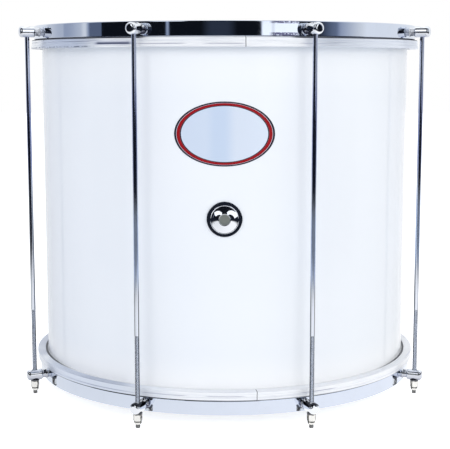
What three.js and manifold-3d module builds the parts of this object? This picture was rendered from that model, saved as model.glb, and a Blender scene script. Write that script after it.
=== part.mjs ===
// A bass drum of the samba kind: a white laminated wooden shell, a head and a chromed
// counterhoop at each end, and eight tension rods that pull the two hoops together.
// Millimetres, +Z up. The origin is on the floor under the middle of the drum, the drum stands
// on the tips of its rods, and its front, with the vent and the plate, faces -Y.

import * as THREE from 'three';
import { mergeVertices } from 'three/addons/utils/BufferGeometryUtils.js';
import Module from 'manifold-3d';

const wasm = await Module();
wasm.setup();

// Shell
const shellDiameter = 508;
const shellLength = 450;
const plyThickness = 6;
const laminateThickness = 0.6;
const laminateSetback = 2.5;
const laminateSeamWidth = 0.5;
const bearingChamfer = 1.5;
const bearingCrestWidth = 0.8;
const glueRingThickness = 5;
const glueRingHeight = 30;
const glueRingBevel = 2;

// Heads and the hoops that hold them
const filmThickness = 0.6;
const hemWidth = 3.3;
const fleshHoopWidth = 13.4;
const fleshHoopHeight = 12;
const fleshHoopBevel = 1;
const fleshLipHeight = 3.6;
const fleshLipDepth = 0.8;
const buttSeamWidth = 0.5;
const buttSeamDepth = 0.8;
const upperSeamAngle = 5.4;
const lowerSeamAngle = 8.6;
const counterhoopSetback = 4.1;
const counterhoopThickness = 4.8;
const counterhoopHeight = 18.5;
const counterhoopEdge = 0.9;
const rimAboveCrest = 15.5;

// Tension rods and the lugs on the counterhoops
const rodCount = 8;
const firstRodAngle = 22.5;
const rodDiameter = 6;
const rodStandoff = 16.5;
const rodTipDrop = 17;
const rodTipChamfer = 0.8;
const rodHeadDiameter = 8.8;
const rodHeadHeight = 3.2;
const rodHeadSeat = 2.4;
const lugDiameter = 14.5;
const lugBarrelLength = 21;
const lugTipBeyondRod = 11;
const lugEndRound = 4;
const lugShoulder = 1.8;
const lugNeckDiameter = 10.5;
const lugFootDiameter = 13.5;
const lugFootThickness = 1.6;
const lugFootFlare = 1.5;
const lugSpotFaceDrop = 6.25;

// Tuning nuts and their washers
const washerDiameter = 12;
const washerThickness = 1.2;
const washerBoreDiameter = 6.8;
const nutAcrossFlats = 10;
const nutHexHeight = 9;
const nutCollarHeight = 4;
const nutCollarDiameter = 9.6;
const nutNoseDiameter = 8;
const nutNoseHeight = 1.5;
const nutGrooveDiameter = 8.6;
const nutGrooveWidth = 0.8;
const nutChamfer = 0.9;

// Vent through the front of the shell
const ventBelowCrest = 222.5;
const ventFlangeRadius = 22;
const ventBrimHeight = 1.4;
const ventRidgeRadius = 17;
const ventRidgeHeight = 2.3;
const ventDomeRadius = 12;
const ventDomeHeight = 4.5;
const ventLipRadius = 8.6;
const ventLipHeight = 5.3;
const ventBoreRadius = 6.6;
const ventTubeRadius = 8.6;
const ventTubeEnd = 1.2;
const ventNutRadius = 14;
const ventNutThickness = 4;

// Plate on the front
const plateWidth = 123;
const plateHeight = 78;
const plateThickness = 0.5;
const plateBelowCrest = 119;

// Fits
const seatGap = 0.3;
const runningGap = 0.25;
const overrun = 3;

// How finely round forms are cut
const hoopSides = 48;
const lugSides = 12;
const rodSides = 10;
const ventSides = 20;
const lugRoundSteps = 2;
const headRoundSteps = 1;
const plateSides = 28;

// Radii worked out from the shell outwards and inwards
const shellRadius = shellDiameter / 2;
const plyOuter = shellRadius - laminateThickness - seatGap;
const plyInner = plyOuter - plyThickness;
const crestOuter = plyOuter - bearingChamfer;
const crestInner = crestOuter - bearingCrestWidth;
const bearingDepth = crestInner - plyInner;
const glueRingOuter = plyInner - seatGap;
const glueRingInner = glueRingOuter - glueRingThickness;
const filmInner = shellRadius + seatGap;
const filmOuter = filmInner + filmThickness;
const fleshInner = filmOuter + seatGap;
const fleshOuter = fleshInner + fleshHoopWidth;
const counterOuter = fleshOuter - counterhoopSetback;
const counterInner = counterOuter - counterhoopThickness;
const rodCircle = counterOuter + rodStandoff;
const rodRadius = rodDiameter / 2;
const lugRadius = lugDiameter / 2;
const lugTip = rodCircle + lugTipBeyondRod;

// Heights, from the floor up
const lowerRim = rodTipDrop;
const lowerCrest = lowerRim + rimAboveCrest;
const upperCrest = lowerCrest + shellLength;
const upperRim = upperCrest + rimAboveCrest;
const lowerLugHeight = lowerRim + counterhoopHeight / 2;
const upperLugHeight = upperRim - counterhoopHeight / 2;
const washerTop = lowerLugHeight - lugSpotFaceDrop - seatGap;
const nutTop = washerTop - washerThickness - seatGap;
const plateMiddle = upperCrest - plateBelowCrest;
const ventHeight = upperCrest - ventBelowCrest;

// Heights of one end's pieces, counted outwards from the bearing crest
const counterBase = rimAboveCrest - counterhoopHeight;
const fleshTop = counterBase - seatGap;
const fleshBase = fleshTop - fleshHoopHeight;
const hemBase = fleshBase + seatGap;
const hemTop = hemBase + filmThickness;
const filmBase = seatGap;
const filmTop = filmBase + filmThickness;

// Radii at which the film's two faces bend down over the crest, by 45 degrees
const bendShare = Math.tan(Math.PI / 8);
const innerBend = crestOuter + filmBase * bendShare;
const outerBend = innerBend + filmThickness * bendShare;

// A polygon whose flats, not its corners, lie at the given radius
const acrossFlats = (radius, sides) => radius / Math.cos(Math.PI / sides);

const material = (color, roughness, metalness) =>
  new THREE.MeshStandardMaterial({ color, roughness, metalness });

const finishes = {
  ply: material(0xb89468, 0.7, 0),
  laminate: material(0xf2f5fa, 0.18, 0),
  film: material(0xe9ebea, 0.45, 0),
  flesh: material(0xc4cbd6, 0.3, 0.9),
  hoop: material(0xcdd2d9, 0.08, 1),
  lug: material(0xd2d6dc, 0.12, 1),
  rod: material(0xc6cbd3, 0.15, 1),
  washer: material(0xb9bec6, 0.3, 1),
  nut: material(0xd6d8d6, 0.2, 1),
  vent: material(0xcfd3d9, 0.1, 1),
  plate: material(0xc9d6ec, 0.3, 0.4),
};

// Booleans work on merged vertices with no collapsed triangles
function toSolid(geometry) {
  const bare = geometry.clone();
  bare.deleteAttribute('normal');
  bare.deleteAttribute('uv');
  const merged = mergeVertices(bare);
  const corners = merged.index.array;
  const kept = [];
  for (let i = 0; i < corners.length; i += 3) {
    const [a, b, c] = corners.slice(i, i + 3);
    if (a !== b && b !== c && c !== a) kept.push(a, b, c);
  }
  return new wasm.Manifold(new wasm.Mesh({
    numProp: 3,
    vertProperties: new Float32Array(merged.attributes.position.array),
    triVerts: new Uint32Array(kept),
  }));
}

function toGeometry(solid) {
  const mesh = solid.getMesh();
  const geometry = new THREE.BufferGeometry();
  geometry.setAttribute('position', new THREE.BufferAttribute(mesh.vertProperties, 3));
  geometry.setIndex(new THREE.BufferAttribute(mesh.triVerts, 1));
  return geometry;
}

// Turns an outline of [radius, height] points about +Z. A ring's outline closes on itself.
// The first side of the turned form starts at the front, -Y.
function revolve(outline, sides, ring = true) {
  const points = outline.map(([radius, height]) => new THREE.Vector2(radius, height));
  if (ring) points.push(points[0].clone());
  return toSolid(new THREE.LatheGeometry(points, sides).rotateX(Math.PI / 2));
}

// The same, with the axis laid along -Y, so heights count outwards from the drum's axis
function revolveOutwards(outline, sides, ring = true) {
  return toSolid(toGeometry(revolve(outline, sides, ring)).rotateX(Math.PI / 2));
}

function cylinder(radius, base, top, sides) {
  return revolve([[0, base], [radius, base], [radius, top], [0, top]], sides, false);
}

function box(width, depth, height, x, y, z) {
  return toSolid(new THREE.BoxGeometry(width, depth, height).translate(x, y, z));
}

// Points of a rounded corner from a face of the given radius to the end at the given height
function roundedEnd(radius, end, round, steps) {
  const points = [];
  for (let step = 0; step <= steps; step += 1) {
    const turn = (step / steps) * (Math.PI / 2);
    points.push([radius - round + round * Math.cos(turn), end - round + round * Math.sin(turn)]);
  }
  return points;
}

const drum = new THREE.Group();

function add(name, solid, finish) {
  const mesh = new THREE.Mesh(toGeometry(solid), finish);
  mesh.name = name;
  drum.add(mesh);
  return mesh;
}

// Pieces of the lower end are the upper end's, turned over about the X axis
function addAtEnd(name, solid, finish, upper) {
  const mesh = add(name, solid, finish);
  mesh.position.z = upper ? upperCrest : lowerCrest;
  mesh.rotation.x = upper ? 0 : Math.PI;
}

// The hole for the vent's tube, through the wall on the front
function ventHole(radius) {
  const bore = revolveOutwards(
    [[0, glueRingInner], [radius, glueRingInner], [radius, lugTip], [0, lugTip]], ventSides, false);
  return bore.translate([0, 0, ventHeight]);
}

function shellPly() {
  const tube = revolve([
    [plyInner, lowerCrest + bearingDepth],
    [crestInner, lowerCrest],
    [crestOuter, lowerCrest],
    [plyOuter, lowerCrest + bearingChamfer],
    [plyOuter, upperCrest - bearingChamfer],
    [crestOuter, upperCrest],
    [crestInner, upperCrest],
    [plyInner, upperCrest - bearingDepth],
  ], hoopSides);
  return tube.subtract(ventHole(ventTubeRadius + seatGap));
}

// The laminate is one sheet bent round the ply, with its butt seam at the back
function shellLaminate() {
  const base = lowerCrest + laminateSetback;
  const top = upperCrest - laminateSetback;
  const inner = shellRadius - laminateThickness;
  const sleeve = revolve([[inner, base], [shellRadius, base], [shellRadius, top], [inner, top]], hoopSides);
  const depth = laminateThickness + overrun * 2;
  const seam = box(laminateSeamWidth, depth, shellLength, 0, shellRadius, lowerCrest + shellLength / 2);
  return sleeve.subtract(ventHole(ventTubeRadius + seatGap)).subtract(seam);
}

function glueRing() {
  const top = -bearingDepth;
  const base = top - glueRingHeight;
  return revolve([
    [glueRingInner + glueRingBevel, base],
    [glueRingOuter, base],
    [glueRingOuter, top],
    [glueRingInner, top],
    [glueRingInner, base + glueRingBevel],
  ], hoopSides);
}

// The flat of the film, which ends on the bearing crest where the collar begins
function head() {
  return cylinder(innerBend - seatGap, filmBase, filmTop, hoopSides);
}

// The collar bends over the crest, comes down beside the laminate and turns out under the hoop
function headCollar() {
  return revolve([
    [innerBend, filmBase],
    [filmInner, filmBase - (filmInner - innerBend)],
    [filmInner, hemBase],
    [filmInner + hemWidth, hemBase],
    [filmInner + hemWidth, hemTop],
    [filmOuter, hemTop],
    [filmOuter, filmTop - (filmOuter - outerBend)],
    [outerBend, filmTop],
  ], hoopSides);
}

// A band with a raised lower lip, a bevelled upper edge and a rebate that hides the film's hem
function fleshHoop(seamAngle) {
  const face = fleshOuter - fleshLipDepth;
  const rebateOuter = filmInner + hemWidth + seatGap;
  const rebateTop = hemTop + seatGap;
  const lipTop = fleshBase + fleshLipHeight;
  const band = revolve([
    [fleshInner, rebateTop],
    [rebateOuter, rebateTop],
    [rebateOuter, fleshBase],
    [face, fleshBase],
    [fleshOuter, fleshBase + fleshLipDepth],
    [fleshOuter, lipTop],
    [face, lipTop],
    [face, fleshTop - fleshHoopBevel],
    [face - fleshHoopBevel, fleshTop],
    [fleshInner, fleshTop],
  ], hoopSides);
  const depth = (buttSeamDepth + fleshLipDepth) * 2;
  const height = fleshHoopHeight + overrun * 2;
  const seam = box(buttSeamWidth, depth, height, 0, -fleshOuter, fleshBase + fleshHoopHeight / 2);
  return band.subtract(seam.rotate([0, 0, seamAngle]));
}

function counterhoop() {
  const edge = counterhoopEdge;
  return revolve([
    [counterInner + edge, counterBase],
    [counterOuter - edge, counterBase],
    [counterOuter, counterBase + edge],
    [counterOuter, rimAboveCrest - edge],
    [counterOuter - edge, rimAboveCrest],
    [counterInner + edge, rimAboveCrest],
    [counterInner, rimAboveCrest - edge],
    [counterInner, counterBase + edge],
  ], hoopSides);
}

// A cast lug: a round barrel that holds the rod, a narrower neck and a foot that fits the hoop
function lugBlank() {
  const barrelStart = lugTip - lugBarrelLength;
  const neckRadius = lugNeckDiameter / 2;
  const footRadius = lugFootDiameter / 2;
  const footFace = counterOuter + lugFootThickness;
  const blank = revolveOutwards([
    [0, counterInner],
    [footRadius, counterInner],
    [footRadius, footFace],
    [neckRadius, footFace + lugFootFlare],
    [neckRadius, barrelStart],
    [lugRadius - lugShoulder, barrelStart],
    [lugRadius, barrelStart + lugShoulder],
    ...roundedEnd(lugRadius, lugTip, lugEndRound, lugRoundSteps),
    [0, lugTip],
  ], lugSides, false);
  const hoopFace = acrossFlats((counterOuter + seatGap) * Math.cos(Math.PI / hoopSides), hoopSides);
  const hoop = cylinder(hoopFace, -lugDiameter, lugDiameter, hoopSides);
  const boreRadius = acrossFlats(rodRadius + runningGap, rodSides);
  const bore = cylinder(boreRadius, -lugDiameter, lugDiameter, rodSides).translate([0, -rodCircle, 0]);
  return blank.subtract(hoop).subtract(bore);
}

// The upper lug has a pocket that takes the rod's head
function upperLug() {
  const pocketRadius = acrossFlats(rodHeadDiameter / 2 + runningGap, rodSides);
  const pocket = cylinder(pocketRadius, rodHeadSeat, lugDiameter, rodSides);
  return lugBlank().subtract(pocket.translate([0, -rodCircle, 0]));
}

// The lower lug is faced flat underneath, where the washer bears
function lowerLug() {
  const faceRadius = acrossFlats(washerDiameter / 2 + runningGap, rodSides);
  const spotFace = cylinder(faceRadius, -lugDiameter, -lugSpotFaceDrop, rodSides);
  return lugBlank().subtract(spotFace.translate([0, -rodCircle, 0]));
}

function tensionRod() {
  const headBase = upperLugHeight + rodHeadSeat + seatGap;
  const headTop = headBase + rodHeadHeight;
  const headRadius = rodHeadDiameter / 2;
  return revolve([
    [0, 0],
    [rodRadius - rodTipChamfer, 0],
    [rodRadius, rodTipChamfer],
    [rodRadius, headBase],
    [headRadius, headBase],
    ...roundedEnd(headRadius, headTop, rodHeadHeight / 2, headRoundSteps),
    [0, headTop],
  ], rodSides, false);
}

function washer() {
  const bore = acrossFlats(washerBoreDiameter / 2, rodSides);
  return revolve([
    [bore, -washerThickness],
    [washerDiameter / 2, -washerThickness],
    [washerDiameter / 2, 0],
    [bore, 0],
  ], rodSides);
}

// A long hexagon over a round collar that tapers to a nose, parted by a turned groove
function tuningNut() {
  const corner = acrossFlats(nutAcrossFlats / 2, 6);
  const hexBase = -nutHexHeight;
  const grooveBase = hexBase - nutGrooveWidth;
  const nutBase = hexBase - nutCollarHeight;
  const hexagon = revolve([
    [0, hexBase],
    [corner - nutChamfer, hexBase],
    [corner, hexBase + nutChamfer],
    [corner, -nutChamfer],
    [corner - nutChamfer, 0],
    [0, 0],
  ], 6, false);
  const collar = revolve([
    [0, nutBase],
    [nutNoseDiameter / 2, nutBase],
    [nutCollarDiameter / 2, nutBase + nutNoseHeight],
    [nutCollarDiameter / 2, grooveBase],
    [nutGrooveDiameter / 2, grooveBase],
    [nutGrooveDiameter / 2, hexBase + nutGrooveWidth],
    [0, hexBase + nutGrooveWidth],
  ], rodSides, false);
  const boreRadius = acrossFlats(rodRadius + runningGap, rodSides);
  const bore = cylinder(boreRadius, nutBase - overrun, overrun, rodSides);
  return hexagon.add(collar).subtract(bore);
}

// A chromed rosette: a brim bedded on the laminate, a ridge, a dome and a tube through the wall
function ventRosette() {
  const bed = shellRadius + seatGap;
  const flange = revolveOutwards([
    [0, plyOuter],
    [ventFlangeRadius, plyOuter],
    [ventFlangeRadius, bed + ventBrimHeight / 2],
    [ventFlangeRadius - ventBrimHeight / 2, bed + ventBrimHeight],
    [ventRidgeRadius, bed + ventBrimHeight],
    [ventRidgeRadius, bed + ventRidgeHeight],
    [ventDomeRadius, bed + ventDomeHeight],
    [ventLipRadius, bed + ventLipHeight],
    [0, bed + ventLipHeight],
  ], ventSides, false).translate([0, 0, ventHeight]);
  const wall = cylinder(bed, lowerCrest, upperCrest, hoopSides);
  const tubeInner = plyInner - seatGap - ventNutThickness - ventTubeEnd;
  const tube = revolveOutwards(
    [[0, tubeInner], [ventTubeRadius, tubeInner], [ventTubeRadius, bed + ventBrimHeight],
      [0, bed + ventBrimHeight]], ventSides, false).translate([0, 0, ventHeight]);
  const bore = revolveOutwards(
    [[0, tubeInner - overrun], [ventBoreRadius, tubeInner - overrun], [ventBoreRadius, lugTip],
      [0, lugTip]], ventSides, false).translate([0, 0, ventHeight]);
  return flange.subtract(wall).add(tube).subtract(bore);
}

function ventRingNut() {
  const face = plyInner - seatGap - ventNutThickness;
  const boreRadius = ventTubeRadius + seatGap;
  const blank = revolveOutwards([
    [boreRadius, face],
    [ventNutRadius, face],
    [ventNutRadius, plyOuter],
    [boreRadius, plyOuter],
  ], ventSides).translate([0, 0, ventHeight]);
  return blank.intersect(cylinder(plyInner - seatGap, lowerCrest, upperCrest, hoopSides));
}

// A thin oval plate bent to the shell
function badgePlate() {
  const inner = shellRadius + seatGap;
  const outer = inner + plateThickness;
  const sleeve = revolve([[inner, lowerCrest], [outer, lowerCrest], [outer, upperCrest],
    [inner, upperCrest]], hoopSides);
  const oval = new THREE.Shape();
  oval.absellipse(0, 0, plateWidth / 2, plateHeight / 2, 0, Math.PI * 2);
  const punch = new THREE.ExtrudeGeometry(oval, {
    depth: shellRadius + overrun,
    curveSegments: plateSides,
    bevelEnabled: false,
  }).rotateX(Math.PI / 2).translate(0, 0, plateMiddle);
  return sleeve.intersect(toSolid(punch));
}

add('shell_ply', shellPly(), finishes.ply);
add('shell_laminate', shellLaminate(), finishes.laminate);
for (const upper of [true, false]) {
  const end = upper ? 'upper' : 'lower';
  const seamAngle = upper ? upperSeamAngle : 180 - lowerSeamAngle;
  addAtEnd(`${end}_glue_ring`, glueRing(), finishes.ply, upper);
  addAtEnd(`${end}_head`, head(), finishes.film, upper);
  addAtEnd(`${end}_head_collar`, headCollar(), finishes.film, upper);
  addAtEnd(`${end}_flesh_hoop`, fleshHoop(seamAngle), finishes.flesh, upper);
  addAtEnd(`${end}_counterhoop`, counterhoop(), finishes.hoop, upper);
}

const upperLugSolid = upperLug();
const lowerLugSolid = lowerLug();
const rodSolid = tensionRod();
const washerSolid = washer();
const nutSolid = tuningNut();
for (let index = 0; index < rodCount; index += 1) {
  const number = index + 1;
  const angle = THREE.MathUtils.degToRad(firstRodAngle + (360 / rodCount) * index);
  const x = rodCircle * Math.sin(angle);
  const y = -rodCircle * Math.cos(angle);
  for (const [name, solid, height] of [
    ['upper_lug', upperLugSolid, upperLugHeight],
    ['lower_lug', lowerLugSolid, lowerLugHeight],
  ]) {
    const lug = add(`${name}_${number}`, solid, finishes.lug);
    lug.position.z = height;
    lug.rotation.z = angle;
  }
  for (const [name, solid, finish, height] of [
    ['tension_rod', rodSolid, finishes.rod, 0],
    ['washer', washerSolid, finishes.washer, washerTop],
    ['tuning_nut', nutSolid, finishes.nut, nutTop],
  ]) {
    const piece = add(`${name}_${number}`, solid, finish);
    piece.position.set(x, y, height);
    piece.rotation.z = angle;
  }
}

add('vent_rosette', ventRosette(), finishes.vent);
add('vent_ring_nut', ventRingNut(), finishes.nut);
add('badge_plate', badgePlate(), finishes.plate);

export default drum;
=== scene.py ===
"""A samba bass drum: a white laminated shell, a head at each end, and chromed hoops drawn together by rods.

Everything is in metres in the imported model's frame: +Z up, the front with its vent and plate at -Y,
the floor at 0. Shapes are functions of two parameters, worked out on whole grids of points.
"""

import math

import bpy
import numpy as np
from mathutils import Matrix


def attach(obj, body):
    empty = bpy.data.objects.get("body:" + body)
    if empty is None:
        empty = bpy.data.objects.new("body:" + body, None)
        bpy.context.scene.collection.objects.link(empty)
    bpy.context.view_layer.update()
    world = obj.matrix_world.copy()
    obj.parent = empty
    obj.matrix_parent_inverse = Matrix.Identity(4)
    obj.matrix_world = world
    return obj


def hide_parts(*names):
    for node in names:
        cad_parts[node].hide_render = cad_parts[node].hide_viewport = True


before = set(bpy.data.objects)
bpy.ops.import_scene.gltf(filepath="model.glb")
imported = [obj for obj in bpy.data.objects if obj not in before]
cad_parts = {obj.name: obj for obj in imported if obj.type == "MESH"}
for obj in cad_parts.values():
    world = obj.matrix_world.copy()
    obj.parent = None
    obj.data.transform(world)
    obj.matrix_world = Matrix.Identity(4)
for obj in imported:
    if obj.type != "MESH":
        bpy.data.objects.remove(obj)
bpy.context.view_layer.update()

MM = 0.001

# Heights from the floor up
LOWER_CREST = 32.5 * MM
UPPER_CREST = 482.5 * MM
LOWER_LUG_HEIGHT = 26.25 * MM
UPPER_LUG_HEIGHT = 488.75 * MM
WASHER_TOP = 19.7 * MM
NUT_TOP = 18.2 * MM
VENT_HEIGHT = 260 * MM
PLATE_MIDDLE = 363.5 * MM
LAMINATE_BOTTOM = 35 * MM
LAMINATE_TOP = 480 * MM

# Radii from the drum's axis outwards
LAMINATE_OUTER = 254 * MM
LAMINATE_INNER = 253.4 * MM
FLESH_INNER = 255.2 * MM
FLESH_OUTER = 268.6 * MM
HOOP_OUTER = 264.5 * MM
ROD_CIRCLE = 281 * MM

# Sizes of a cast lug, in millimetres: a foot that flares, a neck and a barrel, bored for the rod
FOOT_END = 267.9
FOOT_LENGTH = 3.4
NECK_RADIUS = 5.25
BARREL_RADIUS = 7.25
BORE_RADIUS = 3.25
MOUTH_HALF = 6.6

ROD_COUNT = 8
ROD_ANGLES = np.radians(22.5 + 45.0 * np.arange(ROD_COUNT))

# The flesh hoops' butt seams, in degrees to the right of the front
UPPER_SEAM = 5.4
LOWER_SEAM = 8.6


# Shapes

class Shape:
    """Patches of points joined into one closed skin."""

    def __init__(self):
        self.points = []
        self.faces = []
        self.values = []
        self.count = 0

    def patch(self, grid, around=False, along=False, keep=None, values=None, inward=False):
        """Joins each four neighbours of a grid (rows, columns, 3) by two triangles.

        around joins the last column to the first and along the last row to the first. keep is a
        mask of the cells that are wanted, and values holds two numbers a point for the UV map."""
        rows, columns = grid.shape[:2]
        index = np.arange(rows * columns).reshape(rows, columns)
        if around:
            index = np.concatenate([index, index[:, :1]], axis=1)
        if along:
            index = np.concatenate([index, index[:1]], axis=0)
        corner = [index[:-1, :-1], index[:-1, 1:], index[1:, 1:], index[1:, :-1]]
        if keep is not None:
            corner = [part[keep] for part in corner]
        a, b, c, d = [part.ravel() for part in corner]
        if inward:
            b, d = d, b
        self.faces.append(np.concatenate([np.stack([a, b, c], 1), np.stack([a, c, d], 1)]) + self.count)
        self.points.append(grid.reshape(-1, 3))
        self.values.append(np.zeros((rows * columns, 2)) if values is None else values.reshape(-1, 2))
        self.count += rows * columns
        return self

    def welded(self):
        """Points within a ten-thousandth of a millimetre become one, and faces that collapse go."""
        points = np.concatenate(self.points)
        faces = np.concatenate(self.faces)
        place = np.round(points / (1e-4 * MM)).astype(np.int64)
        _, first, same = np.unique(place, axis=0, return_index=True, return_inverse=True)
        faces = same.ravel()[faces]
        whole = (faces[:, 0] != faces[:, 1]) & (faces[:, 1] != faces[:, 2]) & (faces[:, 2] != faces[:, 0])
        return points[first], faces[whole], np.concatenate(self.values)[first]


def turned_about(points, angle):
    """Turns points about the Z axis by an angle counted from the front, -Y, towards +X."""
    c, s = math.cos(angle), math.sin(angle)
    turn = np.array([[c, -s, 0], [s, c, 0], [0, 0, 1]])
    return points @ turn.T


def in_scene(name, data):
    """A new object that carries the data."""
    made = bpy.data.objects.new(name, data)
    bpy.context.scene.collection.objects.link(made)
    return made


def piece(name, skin, finish, body, replaces, sharp=38.0):
    """Makes a mesh of (points, faces, values), gives it a finish and sets it on its body."""
    points, faces, values = skin
    mesh = bpy.data.meshes.new(name)
    mesh.vertices.add(len(points))
    mesh.vertices.foreach_set("co", points.ravel())
    mesh.loops.add(faces.size)
    mesh.loops.foreach_set("vertex_index", faces.ravel())
    mesh.polygons.add(len(faces))
    mesh.polygons.foreach_set("loop_start", np.arange(0, faces.size, 3))
    mesh.update(calc_edges=True)
    if np.any(values):
        layer = mesh.uv_layers.new(name="plan")
        layer.data.foreach_set("uv", values[faces.ravel()].ravel())
    mesh.shade_smooth()
    mesh.set_sharp_from_angle(angle=math.radians(sharp))
    mesh.materials.append(finish)
    made = in_scene(name, mesh)
    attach(made, body)
    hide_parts(*replaces)


def rounded(corners, steps=5, hold=0.15 * MM):
    """A closed outline whose corners (r, z, radius) are arcs.

    Each corner's arc starts and ends where it touches the two sides, radius times the tangent of
    half the turn from the corner, and a held point just beyond keeps the flats flat when shaded."""
    corners = np.asarray(corners, float)
    at, radius = corners[:, :2], corners[:, 2]
    into = at - np.roll(at, 1, axis=0)
    length_in = np.linalg.norm(into, axis=1)
    into /= length_in[:, None]
    out = np.roll(into, -1, axis=0)
    turn = np.arctan2(into[:, 0] * out[:, 1] - into[:, 1] * out[:, 0], (into * out).sum(1))
    reach = radius * np.tan(np.abs(turn) / 2)
    side = np.stack([-into[:, 1], into[:, 0]], 1) * np.sign(turn)[:, None]
    start = at - into * reach[:, None]
    centre = start + side * radius[:, None]
    share = np.linspace(0, 1, steps + 1)
    angle = turn[:, None] * share
    spoke = -side * radius[:, None]
    arc = np.stack([
        spoke[:, :1] * np.cos(angle) - spoke[:, 1:] * np.sin(angle),
        spoke[:, :1] * np.sin(angle) + spoke[:, 1:] * np.cos(angle)], -1) + centre[:, None]
    before = (start - into * hold)[:, None]
    after = (at + out * (reach + hold)[:, None])[:, None]
    return np.concatenate([before, arc, after], axis=1).reshape(-1, 2)


def on_round(radius, angle, height):
    """Points at a radius, at an angle from the front and at a height: x = r sin a, y = -r cos a."""
    radius, angle, height = np.broadcast_arrays(radius, angle, height)
    return np.stack([radius * np.sin(angle), -radius * np.cos(angle), height], -1)


def around_axis(outline, angles):
    """Carries an outline of (r, z) round the Z axis."""
    return on_round(outline[:, :1], angles, outline[:, 1:])


def even_angles(count):
    """Angles all the way round, from 0."""
    return np.arange(count) * (2 * math.pi / count)


def circle_in_square(half, count, radii):
    """Rings of 4 * count points that pass from a square's edge to circles.

    The first ring is the square's edge, in steps of half * 2 / count, and every later ring has the
    same directions at one of the radii. Returns plan coordinates (rings, points, 2)."""
    run = np.linspace(-half, half, count + 1)[:-1]
    edge = np.concatenate([
        np.stack([run, np.full(count, -half)], 1), np.stack([np.full(count, half), run], 1),
        np.stack([-run, np.full(count, half)], 1), np.stack([np.full(count, -half), -run], 1)])
    direction = edge / np.linalg.norm(edge, axis=1)[:, None]
    share = np.linspace(0, 1, 4)[1:-1, None, None]
    blend = edge * (1 - share) + direction * radii[0] * share
    return np.concatenate([edge[None], blend, direction * np.asarray(radii)[:, None, None]])


# Shader arithmetic

class Wire:
    """A node's output that can be added, subtracted and multiplied like a number."""

    def __init__(self, finish, socket):
        self.finish = finish
        self.socket = socket

    def maths(self, operation, *others, clamp=False):
        settings = {"operation": operation, "use_clamp": clamp}
        return self.finish.node("ShaderNodeMath", settings, dict(enumerate((self,) + others)))

    def __add__(self, other):
        return self.maths("ADD", other)

    __radd__ = __add__

    def __sub__(self, other):
        return self.maths("SUBTRACT", other)

    def __rsub__(self, other):
        return self.finish.node("ShaderNodeMath", {"operation": "SUBTRACT"}, {0: other, 1: self})

    def __mul__(self, other):
        return self.maths("MULTIPLY", other)

    def __abs__(self):
        return self.maths("ABSOLUTE")

    def larger(self, other):
        """The larger of two values."""
        return self.maths("MAXIMUM", other)

    def rise(self, low, high):
        """A smooth step from zero at low to one at high."""
        return self.finish.node(
            "ShaderNodeMapRange", {"interpolation_type": "SMOOTHSTEP"},
            {"Value": self, "From Min": low, "From Max": high})

    def bump_at(self, middle, width, soft):
        """One within width of the middle, falling smoothly to zero over soft."""
        return 1 - abs(self - middle).rise(width, width + soft)


class Finish:
    """A material or world whose nodes are written as expressions."""

    def __init__(self, holder):
        holder.use_nodes = True
        self.holder = holder
        self.tree = holder.node_tree
        self.tree.nodes.clear()
        self.coordinates = None

    def node(self, kind, settings=None, inputs=None, output=0):
        made = self.tree.nodes.new(kind)
        for key, value in (settings or {}).items():
            setattr(made, key, value)
        for key, value in (inputs or {}).items():
            if isinstance(value, Wire):
                self.tree.links.new(value.socket, made.inputs[key])
            else:
                made.inputs[key].default_value = value
        return Wire(self, made.outputs[output]) if len(made.outputs) else None

    def place(self):
        """Object coordinates, once for each material."""
        if self.coordinates is None:
            self.coordinates = self.node("ShaderNodeTexCoord", output="Object")
        return self.coordinates

    def parts(self, vector=None):
        """The x, y and z of a vector, as three wires."""
        split = self.node("ShaderNodeSeparateXYZ", inputs={0: vector or self.place()})
        return [Wire(self, split.socket.node.outputs[axis]) for axis in range(3)]

    def rod_turn(self, x, y):
        """The azimuth of the nearest rod: halfway through its eighth of the round."""
        step = 2 * math.pi / ROD_COUNT
        return ((azimuth_of(x, y) * (1 / step)).maths("FLOOR") + 0.5) * step

    def rays(self, *kinds):
        """Wires that are one for a ray of each kind."""
        path = self.node("ShaderNodeLightPath").socket.node
        return [Wire(self, path.outputs[f"Is {kind} Ray"]) for kind in kinds]

    def facing(self):
        """The x, y and z of the surface's direction."""
        return self.parts(self.node("ShaderNodeNewGeometry", output="Normal"))

    def stretched(self, x, y, z):
        """Object coordinates multiplied by three scales, in cells a metre."""
        return self.node("ShaderNodeVectorMath", {"operation": "MULTIPLY"}, {0: self.place(), 1: (x, y, z)})

    def noise(self, scale, detail=2.0, rough=0.5, vector=None):
        return self.node("ShaderNodeTexNoise", inputs={
            "Vector": vector or self.place(), "Scale": scale, "Detail": detail, "Roughness": rough})

    def mix(self, factor, first, second):
        """A colour between two colours."""
        made = self.node("ShaderNodeMix", {"data_type": "RGBA"}, {0: factor})
        for socket, value in ((6, first), (7, second)):
            if isinstance(value, Wire):
                self.tree.links.new(value.socket, made.socket.node.inputs[socket])
            else:
                made.socket.node.inputs[socket].default_value = (*value, 1.0)
        return Wire(self, made.socket.node.outputs[2])

    def scaled(self, colour, level):
        return self.node("ShaderNodeVectorMath", {"operation": "SCALE"}, {0: colour, "Scale": level})

    def bump(self, height, distance, strength):
        return self.node("ShaderNodeBump", inputs={
            "Height": height, "Distance": distance, "Strength": strength})

    def shader(self, **sockets):
        """The Principled shader, with spaces in socket names written as underscores."""
        inputs = {key.replace("_", " "): value for key, value in sockets.items()}
        made = self.node("ShaderNodeBsdfPrincipled", inputs=inputs)
        self.node("ShaderNodeOutputMaterial", inputs={"Surface": made})
        return self.holder


def finish(name):
    return Finish(bpy.data.materials.new(name))


def azimuth_of(x, y):
    """The angle from the front, -Y, towards +X, in radians."""
    return x.maths("ARCTAN2", y * -1)


def distance_of(x, y):
    """The distance from the axis."""
    return (x * x + y * y).maths("SQRT")


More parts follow.
